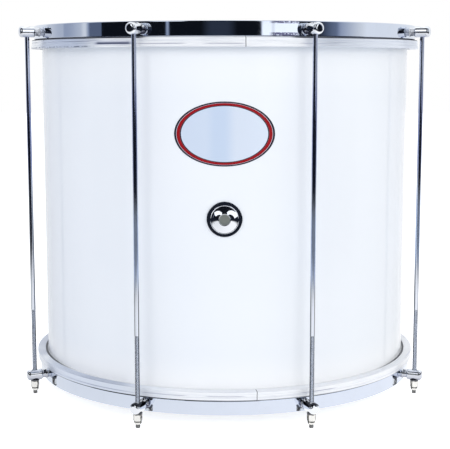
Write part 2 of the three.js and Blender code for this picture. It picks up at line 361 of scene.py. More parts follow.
def upper_end(z):
    """One on the pieces at the drum's upper end, zero on those at its lower end."""
    return z.rise(200 * MM, 300 * MM)


# Finishes

def gloss_laminate():
    """Bluish white sheet under a hard gloss: a faint cast, wipe marks and a slow ripple of the glue.

    Painted light makes it whiter towards both ends, and painted shade lies in a bluish band just below the
    upper hoop."""
    f = finish("gloss_laminate")
    z = f.parts()[2]
    cast = f.noise(6.0, 2.0)
    colour = f.mix(cast, (0.88, 0.91, 0.962), (0.915, 0.94, 0.97))
    # Painted light: whiter towards the upper end.
    colour = f.mix(z.rise(405 * MM, 445 * MM) * 0.5, colour, (0.955, 0.97, 0.985))
    # Painted shade: a bluish band just below the upper hoop, where its shadow falls.
    colour = f.mix(z.rise(455 * MM, 476 * MM) * 0.30, colour, (0.66, 0.75, 0.90))
    # Painted light: whiter towards the lower end, above the lower hoop.
    colour = f.mix((1 - z.rise(45 * MM, 95 * MM)) * 0.8, colour, (0.985, 0.99, 1.0))
    wipe = f.noise(1.0, 3.0, 0.6, f.stretched(9, 9, 40))
    rough = 0.12 + wipe.rise(0.45, 0.75) * 0.08
    ripple = f.noise(1.0, 1.0, 0.4, f.stretched(16, 16, 5))
    return f.shader(Base_Color=colour, Roughness=rough, Specular_IOR_Level=0.22,
                    Normal=f.bump(ripple, 0.15 * MM, 0.25))


def birch_ply():
    """Pale birch: long grain along the sheet, fine pores, and a grey green sealer inside the drum.

    The sealer's faint glow stands for the daylight that the two white heads let in."""
    f = finish("birch_ply")
    radius = distance_of(*f.parts()[:2])
    grain = f.noise(1.0, 4.0, 0.6, f.stretched(14, 14, 160))
    pores = f.noise(1.0, 2.0, 0.5, f.stretched(260, 260, 2200))
    layer = 1.2 * MM
    line = (radius * (1 / layer)).maths("FRACT").bump_at(0.5, 0.05, 0.08)
    colour = f.mix(grain, (0.50, 0.36, 0.21), (0.68, 0.53, 0.35))
    colour = f.mix(line * 0.55, colour, (0.24, 0.15, 0.08))
    colour = f.mix(pores.rise(0.62, 0.75) * 0.4, colour, (0.30, 0.19, 0.10))
    sealed = 1 - radius.rise(247.3 * MM, 247.6 * MM)
    sealer = f.mix(grain, (0.46, 0.50, 0.45), (0.54, 0.57, 0.52))
    colour = f.mix(sealed * 0.95, colour, sealer)
    glow = f.mix(sealed, (0.0, 0.0, 0.0), (0.102, 0.107, 0.110))
    return f.shader(Base_Color=colour, Roughness=0.55 + grain * 0.2, Emission_Color=glow,
                    Emission_Strength=1.0, Normal=f.bump(pores, 0.05 * MM, 0.4))


def coated_film():
    """White coated film: a sprayed grain, a slight cast and the marks that a mallet leaves.

    The collar is greyer, more so on the upper head, and the hem has painted shadow at the left and right."""
    f = finish("coated_film")
    x, y, z = f.parts()
    radius = distance_of(x, y)
    spray = f.noise(1400.0, 2.0)
    cloud = f.noise(9.0, 3.0)
    played = (1 - radius.rise(10 * MM, 120 * MM)) * f.noise(55.0, 4.0, 0.7).rise(0.45, 0.75)
    collar = radius.rise(248 * MM, 251 * MM) * (0.06 + upper_end(z) * 0.24)
    # Painted shadow: the hem is near black at the left and right.
    hem = radius.rise(254.6 * MM, 255.0 * MM) * abs(x).rise(0.19, 0.235)
    colour = f.mix(cloud, (0.80, 0.82, 0.84), (0.86, 0.88, 0.90))
    colour = f.mix(played * 0.18, colour, (0.55, 0.54, 0.52))
    colour = f.mix(collar, colour, (0.66, 0.70, 0.76))
    colour = f.mix(hem * 0.95, colour, (0.03, 0.035, 0.05))
    rough = 0.42 + cloud * 0.12 - played * 0.08
    return f.shader(Base_Color=colour, Roughness=rough, Normal=f.bump(spray, 0.04 * MM, 0.55))


def drawn_aluminium():
    """Drawn strip gone milky, with long drawing marks, and bare metal where its left side is rubbed.

    Marks follow the azimuth, the radius and the distance inwards from the bearing crest. The butt
    seams are dirty, the ledge beside the counterhoop is dark with painted shade from the gap, and the
    two grooves and a line along three short stretches are dark. The upper strip has specks and a dark
    bluish patch at the left, and painted shade makes the strips bluer and darker at the left and at the
    upper strip's right. What one side has fades out towards the back."""
    f = finish("drawn_aluminium")
    x, y, z = f.parts()
    azimuth, radius = azimuth_of(x, y), distance_of(x, y)
    leftwards = azimuth * -1
    fore = 1 - abs(azimuth).rise(1.6, 2.6)
    upper = upper_end(z)
    lower = 1 - upper
    inwards = upper * (z * -1 + UPPER_CREST) + lower * (z - LOWER_CREST)
    along = f.node("ShaderNodeCombineXYZ", inputs={0: azimuth * 5, 1: radius * 700, 2: z * 1500})
    marks = f.noise(1.0, 4.0, 0.6, along).rise(0.52, 0.72)
    hair = f.noise(1.0, 4.0, 0.65, f.stretched(10, 10, 2600))
    rubbed = (leftwards - upper * 0.2).rise(0.36, 0.56) * fore
    rubbed_right = azimuth.rise(0.4, 0.52) * fore
    metal = 0.17 - upper * 0.07 + rubbed * (0.45 + upper * 0.1) + rubbed_right * 0.3 + marks * 0.3

    # The seams' azimuths, LOWER_SEAM and UPPER_SEAM in radians
    seam_at = 0.150 - upper * 0.056
    seam = azimuth.bump_at(seam_at, 0.0011, 0.0007)
    # Painted shade: the ledge beside the counterhoop is near black, the gap's shadow, weaker on the lower
    # strip's front and right and on the upper strip's middle.
    ledge = (1 - inwards.rise(4.45 * MM, 4.95 * MM)) * radius.rise(257 * MM, 258 * MM)
    ledge = ledge * (1 - lower * azimuth.rise(-0.25, 0.1) * fore * 0.45)
    ledge = ledge * (1 - upper * azimuth.bump_at(-0.03, 0.32, 0.05) * 0.9)
    # The butt seams' dark joints are joined with the ledge's painted shade.
    dirt_and_shade = seam.larger(ledge)
    grooves = (inwards.bump_at(7.75 * MM, 0.3 * MM, 0.2 * MM)
               + inwards.bump_at(15.0 * MM, 0.3 * MM, 0.2 * MM)) * f.noise(14.0, 3.0).rise(0.3, 0.6)
    # A dark line at three azimuths, a set distance in from the crest.
    line_stretches = (azimuth.bump_at(-0.29, 0.08, 0.06) + azimuth.bump_at(0.0, 0.06, 0.05)
            + azimuth.bump_at(0.45, 0.06, 0.06))
    line = (inwards + lower * 1.8 * MM).bump_at(11.4 * MM, 0.35 * MM, 0.35 * MM) * line_stretches
    specks = inwards.bump_at(14.2 * MM, 0.55 * MM, 0.3 * MM) * leftwards.rise(0.62, 0.7) * upper
    specks = specks * f.noise(260.0, 2.0).rise(0.42, 0.6) * fore
    # A dark bluish patch at the left of the upper strip.
    dark_patch = inwards.rise(5.5 * MM, 10.6 * MM) * (1 - inwards.rise(11.4 * MM, 13.0 * MM))
    dark_patch = dark_patch * azimuth.bump_at(-0.53, 0.08, 0.05) * upper
    # Painted shade: bluer and darker at the left, at the upper strip's right and at the lower strip's left.
    painted_shade_left = rubbed * (1 - leftwards.rise(1.0, 1.2)) * (0.45 + upper * 0.2)
    painted_shade_right = upper * azimuth.rise(0.34, 0.42) * fore
    painted_shade_below = lower * leftwards.rise(0.2, 0.34) * fore

    colour = f.mix(hair, (0.94, 0.96, 1.0), (0.98, 0.99, 1.0))
    colour = f.mix(painted_shade_left, colour, (0.58, 0.66, 0.84))
    colour = f.mix(marks * 0.5, colour, (0.50, 0.55, 0.70))
    colour = f.mix(grooves * (0.15 + rubbed * 0.5), colour, (0.24, 0.27, 0.38))
    colour = f.mix(line * 0.5, colour, (0.16, 0.16, 0.30))
    colour = f.mix(specks * 0.8, colour, (0.12, 0.16, 0.24))
    colour = f.mix(dark_patch * 0.5, colour, (0.30, 0.35, 0.56))
    colour = f.mix(dark_patch.maths("POWER", 4.0) * 0.9, colour, (0.04, 0.055, 0.14))
    colour = f.mix(painted_shade_right * 0.55, colour, (0.66, 0.72, 0.84))
    colour = f.mix(painted_shade_below * 0.3, colour, (0.62, 0.69, 0.82))
    colour = f.mix(dirt_and_shade * 0.98, colour, (0.010, 0.014, 0.032))
    rough = 0.34 - rubbed * 0.08 + hair * 0.06 + dirt_and_shade * 0.4
    return f.shader(Base_Color=colour, Metallic=metal * (1 - dirt_and_shade), Roughness=rough,
                    Normal=f.bump(hair, 0.02 * MM, 0.35))


def hoop_chrome():
    """Mirror chrome on a rolled band: a slow waviness, hair scratches round it and wiping marks.

    Beside the right front rod the upper band is dark in ragged bands along both its edges."""
    f = finish("hoop_chrome")
    x, y, z = f.parts()
    wave = f.noise(1.0, 1.0, 0.4, f.stretched(22, 22, 60))
    hair = f.noise(1.0, 2.0, 0.5, f.stretched(30, 30, 3800)).rise(0.63, 0.76)
    wipe = f.noise(30.0, 4.0, 0.65).rise(0.42, 0.8)
    edges = z.bump_at(496.2 * MM, 1.2 * MM, 0.4 * MM) + z.bump_at(482.0 * MM, 1.8 * MM, 0.6 * MM)
    ragged = f.noise(1.0, 3.0, 0.6, f.stretched(500, 500, 900)).rise(0.36, 0.48)
    # Ragged dark bands along both edges of the upper band beside the right front rod.
    ragged_dark = azimuth_of(x, y).bump_at(0.275, 0.048, 0.03) * edges * ragged
    colour = f.mix(wipe * 0.5, (0.68, 0.735, 0.845), (0.64, 0.69, 0.79))
    colour = f.mix(ragged_dark * 0.92, colour, (0.045, 0.04, 0.12))
    rough = 0.035 + wipe * 0.05 + hair * 0.05
    return f.shader(Base_Color=colour, Metallic=1.0, Roughness=rough, Normal=f.bump(wave, 0.10 * MM, 0.16))


def lug_chrome():
    """Chrome over a casting: a soft unevenness, small pits, and a spattered welded root with painted shade
    where it faces down.

    The upper lugs are dusty on top; that and the spatter on the upper root are matt and pale, as
    painted highlights. Painted dark reflection blackens the lower ones on top, except in pale matt
    lines along the barrel and a patch in front of the rod, which are painted highlights. Lugs at the
    left and right have less painted shade at the welded root, a crown free of that black, and grey
    painted shade underneath."""
    f = finish("lug_chrome")
    x, y, z = f.parts()
    radius = distance_of(x, y)
    upward = f.facing()[2]
    upper = upper_end(z)
    lower = 1 - upper
    beside = abs(x).rise(0.15, 0.2)
    central = 1 - beside
    uneven = f.noise(120.0, 2.0)
    pits = f.noise(900.0, 2.0).rise(0.70, 0.78)
    spatter = f.noise(420.0, 1.0).rise(0.52, 0.6)
    # Painted shade: the welded root is dark where it faces down, less so at the left and right.
    weld_shade = (1 - radius.rise(270.5 * MM, 272.8 * MM)) * (1 - upward.rise(-0.1, 0.6)) * (1 - beside * 0.8)

    turn = f.rod_turn(x, y)
    aside = x * turn.maths("COSINE") + y * turn.maths("SINE")
    wander = abs(aside + (f.noise(150.0, 1.0) - 0.5) * 2.4 * MM)
    # Painted highlights: pale lines along each lower barrel, and a patch in front of the rod.
    highlight_streaks = wander.bump_at(2.0 * MM, 0.8 * MM, 0.35 * MM)
    highlight_streaks = highlight_streaks * (1 - radius.bump_at(271 * MM, 0.6 * MM, 0.6 * MM))
    highlight_streaks = highlight_streaks * (1 - radius.rise(285.6 * MM, 286.2 * MM))
    patch = wander.bump_at(0.0, 2.6 * MM, 0.4 * MM) * radius.bump_at(283.0 * MM, 2.6 * MM, 0.5 * MM)
    highlight_streaks = highlight_streaks.larger(patch)
    upwards = upward + beside * 0.2
    crown = upwards.rise(0.58, 0.66) * beside
    # Painted dark reflection: the lower lugs are near black on top, but not in the pale lines or the side
    # lugs' crowns.
    painted_dark_top = upwards.rise(0.36, 0.5) * lower * (1 - highlight_streaks) * (1 - crown)
    # Painted shade: grey on the faces that turn down, on the lugs at the left and right.
    bloom = (0.25 - upward).rise(0.0, 0.3) * 0.4 + (upward * -1).rise(0.2, 0.8) * 0.4

    root = (1 - radius.rise(270 * MM, 273 * MM)) * upper
    # Painted highlights: matt, pale spatter on the upper root, dusty tops of the upper barrels and the
    # lower barrels' lines.
    crumbs_and_highlight = root * central * spatter * upward.rise(-0.1, 0.3)
    dust_and_highlight = upward.rise(0.3, 0.55) * upper * central * f.noise(330.0, 1.0).rise(0.44, 0.54)
    streak_highlight = highlight_streaks * lower * central * upward.rise(0.4, 0.6)
    dull = root * beside * 0.6 + crumbs_and_highlight.larger(dust_and_highlight).larger(streak_highlight) * 0.9
    colour = f.mix(weld_shade * (0.96 - spatter * 0.5) + pits * 0.3, (0.86, 0.885, 0.935), (0.03, 0.03, 0.07))
    colour = f.mix(bloom * beside * (0.5 + lower * 0.5), colour, (0.24, 0.26, 0.34))
    colour = f.mix(painted_dark_top * 0.96, colour, (0.006, 0.008, 0.016))
    rough = 0.05 + pits * 0.3 + weld_shade * 0.1 + uneven * 0.05 + dull * 0.2
    return f.shader(Base_Color=colour, Metallic=1 - dull, Roughness=rough,
                    Normal=f.bump(uneven, 0.25 * MM, 0.22))


def rod_chrome():
    """Chrome on drawn rod: fine lines along it, a duller thread with grime in its grooves, a bare tip.

    Painted reflections darken its lower part on the left and right flanks, make the front rods dark
    and bluish above, and give all of these but the leftmost a duller band halfway down."""
    f = finish("rod_chrome")
    x, y, z = f.parts()
    lines = f.noise(1.0, 3.0, 0.6, f.stretched(2200, 2200, 18))
    thread = 1 - z.rise(114 * MM, 118 * MM)
    grime = f.noise(340.0, 3.0, 0.6).rise(0.5, 0.8) * thread
    bare = 1 - z.rise(4.2 * MM, 5.4 * MM)
    off_axis = abs(x - f.rod_turn(x, y).maths("SINE") * ROD_CIRCLE)
    # Painted reflection: the lower part is dark down its left and right flanks.
    painted_dark_flank = off_axis.rise(1.5 * MM, 2.2 * MM) * (1 - z.rise(0.2, 0.34))
    fore = 1 - y.rise(-0.05, 0.05)
    # Painted reflection: the front rods are dark and bluish above, and all but the leftmost have a duller
    # band lower down.
    dark = z.rise(0.27, 0.33) * (1 - z.rise(0.40, 0.44) * 0.5) * fore
    dull = z.rise(0.165, 0.20) * (1 - z.rise(0.25, 0.30)) * x.rise(-0.2, -0.15) * fore
    colour = f.mix(grime * 0.5 + thread * 0.1, (0.73, 0.77, 0.85), (0.36, 0.38, 0.42))
    colour = f.mix(painted_dark_flank * 0.82, colour, (0.03, 0.034, 0.05))
    colour = f.mix(bare * 0.8, colour, (0.36, 0.35, 0.33))
    colour = f.mix(dark * 0.9, colour, (0.26, 0.30, 0.50))
    colour = f.mix(dull * 0.7, colour, (0.52, 0.64, 0.90))
    rough = 0.05 + lines * 0.07 + thread * 0.14 + grime * 0.15
    return f.shader(Base_Color=colour, Metallic=1 - dull * 0.25, Roughness=rough,
                    Normal=f.bump(lines, 0.01 * MM, 0.3))


def nut_nickel():
    """Warm nickel on turned steel: a soft sheen and specks, a dark waist, and painted shade on its sides
    and top.

    A side is told by how much nearer the drum's middle plane, x = 0, it lies than the rod's axis."""
    f = finish("nut_nickel")
    x, y, z = f.parts()
    turned = f.noise(1.0, 3.0, 0.6, f.stretched(60, 60, 5200))
    specks = f.noise(620.0, 3.0, 0.7).rise(0.60, 0.72)
    inwards = abs(f.rod_turn(x, y).maths("SINE") * ROD_CIRCLE) - abs(x)
    # Painted shade: dark at the nut's left and right sides as seen from the front.
    side = inwards.rise(3.0 * MM, 3.9 * MM) * 1.15 + (inwards * -1).rise(4.0 * MM, 5.0 * MM) * 0.6
    # Painted shade under the washer at the top, and a dark ring at the waist.
    dirt_and_shade = z.bump_at(8.7 * MM, 0.7 * MM, 0.4 * MM).larger(z.rise(16.8 * MM, 17.8 * MM)).larger(side)
    dirt_and_shade = dirt_and_shade * (0.5 + f.noise(330.0, 2.0).rise(0.4, 0.56) * 0.6)
    dirt_and_shade = dirt_and_shade.maths("MINIMUM", 1.0)
    colour = f.mix(turned, (0.82, 0.815, 0.785), (0.93, 0.925, 0.90))
    colour = f.mix((specks * 0.9).larger(dirt_and_shade * 0.96), colour, (0.035, 0.034, 0.033))
    rough = 0.12 + turned * 0.08 + specks * 0.35
    return f.shader(Base_Color=colour, Metallic=1.0, Roughness=rough, Normal=f.bump(turned, 0.02 * MM, 0.4))


def washer_zinc():
    """Dull zinc plate with a mottled bloom, its dark tone partly painted shade between lug and nut."""
    f = finish("washer_zinc")
    bloom = f.noise(480.0, 4.0, 0.65)
    # The dark tone is partly painted shade, the gap between the lug and the nut.
    colour = f.mix(bloom, (0.07, 0.075, 0.09), (0.24, 0.25, 0.28))
    return f.shader(Base_Color=colour, Metallic=1.0, Roughness=0.24 + bloom * 0.2)


def vent_chrome():
    """Spun and chromed brass: faint turning marks round the bore and a few dark nicks."""
    f = finish("vent_chrome")
    x, _, z = f.parts()
    turning = (distance_of(x, z - VENT_HEIGHT) * 5200.0).maths("SINE") * f.noise(90.0, 2.0)
    nicks = f.noise(700.0, 3.0, 0.6).rise(0.68, 0.74)
    colour = f.mix(nicks * 0.6, (0.82, 0.845, 0.90), (0.26, 0.27, 0.31))
    rough = 0.04 + nicks * 0.2 + f.noise(60.0, 3.0).rise(0.4, 0.8) * 0.05
    return f.shader(Base_Color=colour, Metallic=1.0, Roughness=rough,
                    Normal=f.bump(turning, 0.01 * MM, 0.12))


def plate_enamel():
    """A pressed plate: a pale blue enamel field, a red border and dark outlines.

    They follow the plan's share of the oval, and two soft upright bands of painted sheen brighten the
    field."""
    f = finish("plate_enamel")
    plan = f.node("ShaderNodeUVMap", {"uv_map": "plan"})
    share = f.parts(plan)[0]
    x = f.parts()[0]
    brushed = f.noise(1.0, 4.0, 0.6, f.stretched(16, 16, 1500))
    # Painted sheen: two soft upright bands lighten the field.
    sheen = x.rise(-2 * MM, 16 * MM) + (1 - x.rise(-24 * MM, -10 * MM)) * 0.5
    field = f.mix(sheen, (0.655, 0.775, 0.96), (0.79, 0.87, 1.0))
    field = f.mix(brushed * 0.12, field, (0.84, 0.88, 0.98))
    red = f.mix(f.noise(60.0, 2.0), (0.30, 0.002, 0.006), (0.38, 0.004, 0.010))
    border = share.bump_at(0.918, 0.032, 0.004)
    outline = share.bump_at(0.982, 0.022, 0.004)
    inner_line = share.bump_at(0.872, 0.010, 0.004)
    colour = f.mix(border, field, red)
    colour = f.mix(outline.larger(inner_line), colour, (0.02, 0.018, 0.035))
    metal = (1 - border) * (1 - outline) * 0.15
    rough = 0.26 + brushed * 0.12
    return f.shader(Base_Color=colour, Metallic=metal, Roughness=rough, Specular_IOR_Level=0.25,
                    Normal=f.bump(brushed, 0.01 * MM, 0.2))


# Shell

def laminate_wrap(finish_used):
    """The sheet round the ply, from one edge of its seam at the back to the other.

    In plan it is (angle, height): x = R sin a, y = -R cos a. Round the vent the grid gives way to
    rings that pass from a square of 24 mm to the hole's circle."""
    half, count, hole, plain_rows = 12 * MM, 16, 8.9 * MM, 8
    seam = 0.25 * MM / LAMINATE_OUTER
    inner_run = np.linspace(-half, half, count + 1)
    middle = inner_run / LAMINATE_OUTER
    side = np.linspace(half / LAMINATE_OUTER, math.pi - seam, 120)
    angles = np.concatenate([-side[::-1][:-1], middle, side[1:]])
    rows = np.concatenate([
        [LAMINATE_BOTTOM, 35.2 * MM], np.linspace(60 * MM, VENT_HEIGHT - half - 20 * MM, plain_rows),
        VENT_HEIGHT + inner_run, np.linspace(VENT_HEIGHT + half + 20 * MM, 455 * MM, plain_rows),
        [479.8 * MM, LAMINATE_TOP]])
    first_row = 2 + plain_rows
    first_column = len(side) - 1
    keep = np.ones((len(rows) - 1, len(angles) - 1), bool)
    keep[first_row:first_row + count, first_column:first_column + count] = False
    rings = circle_in_square(half, count, [hole])
    shape = Shape()
    grid_angle, grid_height = np.meshgrid(angles, rows)
    edges = []
    for radius, inward in ((LAMINATE_OUTER, False), (LAMINATE_INNER, True)):
        grid = on_round(radius, grid_angle, grid_height)
        shape.patch(grid, keep=keep, inward=inward)
        ring = on_round(radius, rings[..., 0] / LAMINATE_OUTER, VENT_HEIGHT + rings[..., 1])
        shape.patch(ring, around=True, inward=inward)
        edges.append((grid, ring))
    (outer, outer_ring), (inner, inner_ring) = edges
    rim = np.concatenate([outer[0], outer[1:, -1], outer[-1, -2::-1], outer[-2:0:-1, 0]])
    back = np.concatenate([inner[0], inner[1:, -1], inner[-1, -2::-1], inner[-2:0:-1, 0]])
    shape.patch(np.stack([rim, back]), around=True, inward=True)
    shape.patch(np.stack([outer_ring[-1], inner_ring[-1]]), around=True)
    piece("laminate_wrap", shape.welded(), finish_used, "drum", ["shell_laminate"])


# Heads and hoops

def end_height(upper, outward):
    """A height counted outwards from a bearing crest, at the upper or the lower end."""
    return UPPER_CREST + outward if upper else LOWER_CREST - outward


def band(name, corners, angles, finish_used, upper, replaces, dent=None):
    """A closed outline carried round the drum: (r, height outwards from the crest, corner radius).

    dent(angles) gives how far the outer face is pressed in at each angle, for a butt seam."""
    outline = rounded([(r * MM, h * MM, c * MM) for r, h, c in corners])
    grid = around_axis(outline, angles)
    if dent is not None:
        depth = dent(angles)[None, :] * (outline[:, :1] > FLESH_INNER + 8 * MM)
        grid[..., 0] -= depth * np.sin(angles)
        grid[..., 1] += depth * np.cos(angles)
    grid[..., 2] = end_height(upper, grid[..., 2])
    shape = Shape().patch(grid, around=True, along=True, inward=not upper)
    piece(name, shape.welded(), finish_used, "drum", replaces)


def counterhoop(upper, finish_used):
    """A flat band 18.5 mm high and 4.8 mm thick with rolled edges."""
    end = "upper" if upper else "lower"
    corners = [(259.7, -3.0, 1.0), (264.5, -3.0, 1.0), (264.5, 15.5, 1.1), (259.7, 15.5, 1.1)]
    band(f"{end}_rim_band", corners, even_angles(384), finish_used, upper,
         [f"{end}_counterhoop"])


def flesh_hoop(upper, seam_angle, finish_used):
    """A drawn strip with a lower lip, a bead line and a bevel, closed by a butt seam."""
    end = "upper" if upper else "lower"
    corners = [
        (255.2, -14.1, 0.1), (257.9, -14.1, 0.1), (257.9, -15.3, 0.1), (268.0, -15.3, 0.5),
        (268.6, -14.7, 0.45), (268.6, -11.7, 0.6), (267.8, -11.4, 0.35), (267.8, -8.4, 0.2),
        (267.35, -8.0, 0.2), (267.35, -7.5, 0.2), (267.8, -7.1, 0.2), (267.8, -4.6, 0.5),
        (267.0, -3.8, 0.2), (264.3, -3.8, 0.15), (264.1, -3.3, 0.15), (255.2, -3.3, 0.2)]
    centre = math.radians(seam_angle)
    near = centre + np.array([-0.6, -0.32, -0.25, -0.1, 0.1, 0.25, 0.32, 0.6]) * MM / FLESH_OUTER
    plain = even_angles(360)
    plain = plain[np.abs((plain - centre + math.pi) % (2 * math.pi) - math.pi) > 0.8 * MM / FLESH_OUTER]
    angles = np.sort(np.concatenate([plain, near]))

    def dent(angle):
        off = np.abs(angle - centre) * FLESH_OUTER
        return 0.8 * MM * np.clip((0.32 * MM - off) / (0.07 * MM), 0, 1)

    band(f"{end}_flesh_band", corners, angles, finish_used, upper,
         [f"{end}_flesh_hoop"], dent)


def head_skin(upper, finish_used):
    """The film: flat to the crest, bent down over it and along the laminate, and out in a hem.

    The outline is swept round the axis, so both faces start and end on the axis."""
    end = "upper" if upper else "lower"
    bend_from = 251.8
    flat = np.linspace(0, 244, 14)
    bend = np.linspace(0, math.pi / 2, 9)

    def face(level, radius, hem):
        """One face: the flat at a level, the bend of a radius, and the hem's two points."""
        arc = np.stack([bend_from + radius * np.sin(bend), level - radius * (1 - np.cos(bend))], 1)
        return np.concatenate([np.stack([flat, 0 * flat + level], 1), arc, hem])

    top = face(0.9, 3.1, [[254.9, -14.4], [257.6, -14.4]])
    under = face(0.3, 2.5, [[254.3, -15.0], [257.6, -15.0]])
    outline = np.concatenate([top, under[::-1]]) * MM
    grid = around_axis(outline, even_angles(256))
    grid[..., 2] = end_height(upper, grid[..., 2])
    shape = Shape().patch(grid, around=True, inward=upper)
    piece(f"{end}_skin", shape.welded(), finish_used, "drum",
          [f"{end}_head", f"{end}_head_collar"], sharp=50.0)


# Lugs

def lug_profile():
    """Radius against distance from the drum's axis: a foot that flares, a neck and a barrel."""
    foot = np.linspace(0, math.pi / 2, 7)
    flare = np.stack([FOOT_END - FOOT_LENGTH * np.cos(foot), NECK_RADIUS + 1.5 - 1.5 * np.sin(foot)], 1)
    shoulder = np.linspace(0, math.pi / 2, 7)
    collar = np.stack([271.0 + 1.9 * (1 - np.cos(shoulder)), 5.35 + 1.9 * np.sin(shoulder)], 1)
    square = np.linspace(-MOUTH_HALF, MOUTH_HALF, 17) + 281.0
    barrel = np.stack([square, 0 * square + BARREL_RADIUS], 1)
    end = np.linspace(0, math.pi / 2, 9)
    tip = np.stack([287.6 + 4 * np.sin(end), 3.25 + 4 * np.cos(end)], 1)
    return np.concatenate([
        [[264.3, 0.0], [264.3, 6.75]], flare, [[269.0, NECK_RADIUS], [270.9, NECK_RADIUS]], collar,
        [[273.2, BARREL_RADIUS]], barrel, tip, [[291.6, 3.0], [291.6, 0.0]]]) * MM


def lug_skin(upper):
    """A cast lug at the front of the drum, with its axis outwards along -Y at height 0.

    The main skin is (distance out, angle round the barrel). Over and under the rod it gives way to
    rings that go from a square to the mouth of the rod's bore, down through the lug and out again:
    a pocket for the rod's head in an upper lug, a flat spot face for the washer in a lower one."""
    profile = lug_profile()
    barrel, half, bore, count = BARREL_RADIUS * MM, MOUTH_HALF * MM, BORE_RADIUS * MM, 16
    across = np.linspace(-half, half, count + 1)
    lean = np.arcsin(across / barrel)
    gap = np.linspace(lean[-1], math.pi - lean[-1], 9)[1:-1]
    angles = np.concatenate([lean, gap, math.pi - lean[::-1], -gap[::-1]])
    out, radius = profile[:, :1], profile[:, 1:]

    def seat(along, sideways, up):
        """Moves the foot back on to the round of the hoop, x = sqrt(R^2 - y^2), fading to its end."""
        fade = np.clip((FOOT_END * MM - along) / (FOOT_LENGTH * MM), 0, 1)
        sag = HOOP_OUTER - np.sqrt(HOOP_OUTER ** 2 - sideways ** 2)
        return np.stack([sideways, -(along - fade * sag), up], -1)

    side = radius * np.sin(angles)
    up = radius * np.cos(angles)
    grid = seat(out + 0 * side, side, up)
    start = int(np.argmin(np.abs(profile[:, 0] - (ROD_CIRCLE - half))))
    keep = np.ones((len(profile) - 1, len(angles)), bool)
    keep[start:start + count, :count] = False
    under = count + 1 + len(gap)
    keep[start:start + count, under:under + count] = False

    def on_barrel(plan, sign):
        return sign * np.cos(np.arcsin(plan[..., 1] / barrel)) * barrel

    pocket_floor, spot_face_level = 2.4 * MM, -6.25 * MM
    plain = [3.7 * MM, 3.55 * MM, bore]
    pocket = [5.05 * MM, 4.9 * MM, 4.65 * MM, 4.65 * MM, 3.3 * MM, bore]
    spot_face = [6.45 * MM, 6.25 * MM, 6.2 * MM, 3.4 * MM, bore]
    top = circle_in_square(half, count, pocket if upper else plain)
    low = circle_in_square(half, count, plain if upper else spot_face)
    top_up, low_up = on_barrel(top, 1), on_barrel(low, -1)
    # The bore's edges are softened, and the pocket's floor and the spot face are flat
    if upper:
        top_up[-4] -= 0.25 * MM
        top_up[-3:] = pocket_floor
        low_up[-1] += 0.3 * MM
    else:
        top_up[-1] -= 0.3 * MM
        low_up[-3:] = np.maximum(low_up[-3:], spot_face_level)
        low_up[-1] += 0.1 * MM
    plan = np.concatenate([top, low[::-1]])
    through = seat(plan[..., 0] + ROD_CIRCLE, plan[..., 1], np.concatenate([top_up, low_up[::-1]]))
    shape = Shape().patch(grid, around=True, keep=keep, inward=True).patch(through, around=True)
    return shape.welded()


def lugs(upper, finish_used):
    end = "upper" if upper else "lower"
    height = UPPER_LUG_HEIGHT if upper else LOWER_LUG_HEIGHT
    points, faces, values = lug_skin(upper)
    for number, angle in enumerate(ROD_ANGLES, 1):
        placed = turned_about(points, angle) + (0, 0, height)
        piece(f"{end}_cast_lug_{number}", (placed, faces, values), finish_used, "drum",
              [f"{end}_lug_{number}"], sharp=34.0)


# Rods, washers and nuts

def rod_skin():
    """An M6 rod on the Z axis: radius = 3 mm less the thread's depth, over height and angle.

    The thread is a flat-topped triangle wave of (height / pitch - angle / turn), which fades out at
    its upper end, and the tip is the lesser of that and a cone. A domed head ends the rod."""
    pitch, rod, depth, tip_radius = 1.0, 3.0, 0.56, 2.2
    thread_end, neck = 117.5, 491.45
    angles = even_angles(24)
    heights = np.concatenate([np.arange(0.0, 118.0, pitch / 6), [118.2, 118.6, 300.0, 491.3, neck]])
    wave = (heights[:, None] / pitch - angles / (2 * math.pi)) % 1.0
    groove = np.clip(np.abs(2 * wave - 1) * 1.35 - 0.2, 0, 1)
    fade = np.clip((thread_end - heights[:, None]) / 2.0, 0, 1)
    radius = np.minimum(rod - depth * groove * fade, tip_radius + heights[:, None])
    shank = on_round(radius, angles, heights[:, None])
    dome = np.linspace(0, math.pi / 2, 8)
    head = np.concatenate([
        [[4.3, neck], [4.4, 491.55], [4.4, 492.6]],
        np.stack([2.4 + 2.0 * np.cos(dome), 492.7 + 1.9 * np.sin(dome)], 1), [[0, 494.65]]])
    shape = Shape()
    tip = np.stack([0 * shank[0], shank[0]])
    cap = around_axis(head, angles)
    shape.patch(np.concatenate([tip, shank[1:], cap]) * MM, around=True)
    return shape.welded()


def washer_skin():
    """A punched ring with softened edges, its top at height 0."""
    outline = rounded([(3.4, -1.2, 0.12), (6.0, -1.2, 0.3), (6.0, 0.0, 0.3), (3.4, 0.0, 0.12)], 3, 0.05)
    return Shape().patch(around_axis(outline, even_angles(48)) * MM, around=True, along=True).welded()


